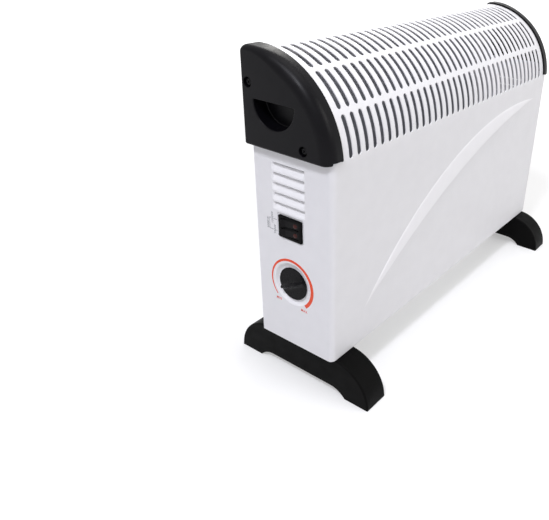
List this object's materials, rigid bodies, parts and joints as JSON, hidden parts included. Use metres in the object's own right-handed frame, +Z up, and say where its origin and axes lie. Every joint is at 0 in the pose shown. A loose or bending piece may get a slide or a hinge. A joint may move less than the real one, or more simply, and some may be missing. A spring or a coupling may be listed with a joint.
{
  "type": "electric convector heater",
  "caption": "Free-standing electric convector heater: folded white casing with a rolled slotted top, dark end caps with finger recesses, arched feet, rocker switches and a thermostat knob.",
  "frame": {"origin": "on the floor, under the middle of the heater's length and of its feet's reach", "axes": "+X along the casing to the end without controls, -Y out of the curved front, +Z up"},
  "size_m": [0.5446, 0.2, 0.385],
  "materials": {
    "casing_paint": "satin white powder coat",
    "cap_plastic": "charcoal moulded plastic with a fine grain and a soft sheen",
    "foot_plastic": "black moulded plastic, satin",
    "dark_screw": "blackened steel",
    "zinc_screw": "zinc plated",
    "switch_plastic": "dark satin plastic",
    "rocker_plastic": "dark smooth plastic",
    "red_lens": "deep red, clear, glossy",
    "brass_blade": "bare",
    "knob_plastic": "charcoal satin plastic",
    "shaft_steel": "turned",
    "thermostat_case": "brown moulded resin",
    "galvanised_steel": "galvanised",
    "element_aluminium": "extruded, bare",
    "ceramic": "unglazed white ceramic",
    "shield_paint": "dark grey, heat proof",
    "cutout_case": "pressed steel",
    "gland_plastic": "black nylon",
    "terminal_plastic": "natural nylon",
    "wire_sleeve": "grey silicone sleeve"
  },
  "bodies": {
    "casing": {"front_casing": "casing_paint", "rear_panel": "casing_paint", "bottom_plate": "casing_paint", "left_end_cap": "cap_plastic", "right_end_cap": "cap_plastic", "left_foot": "foot_plastic", "right_foot": "foot_plastic", "cap_screws": "dark_screw", "foot_screws": "zinc_screw", "rear_screws": "zinc_screw", "switch_housing": "switch_plastic", "switch_blades": "brass_blade", "thermostat_body": "thermostat_case", "control_partition": "galvanised_steel", "element_bracket": "galvanised_steel", "upper_element": "element_aluminium", "lower_element": "element_aluminium", "ceramic_insulators": "ceramic", "element_tabs": "brass_blade", "heat_shield": "shield_paint", "thermal_cutout": "cutout_case", "cord_gland": "gland_plastic", "terminal_block": "terminal_plastic", "inner_wires": "wire_sleeve"},
    "knob": {"thermostat_knob": "knob_plastic", "thermostat_shaft": "shaft_steel"},
    "rocker_upper": {"upper_rocker": "rocker_plastic", "upper_lens": "red_lens"},
    "rocker_lower": {"lower_rocker": "rocker_plastic", "lower_lens": "red_lens"}
  },
  "joints": [
    {"name": "knob_turn", "type": "hinge", "parent": "casing", "child": "knob", "pos_m": [-0.265, 0.0036, 0.132], "axis": [1, 0, 0], "range_deg": [-196.5, 75.5]},
    {"name": "upper_rocker_tilt", "type": "hinge", "parent": "casing", "child": "rocker_upper", "pos_m": [-0.2625, 0.0039, 0.20595], "axis": [0, 0, -1], "range_deg": [0, 20]},
    {"name": "lower_rocker_tilt", "type": "hinge", "parent": "casing", "child": "rocker_lower", "pos_m": [-0.2625, 0.0039, 0.19505], "axis": [0, 0, -1], "range_deg": [0, 20]}
  ]
}
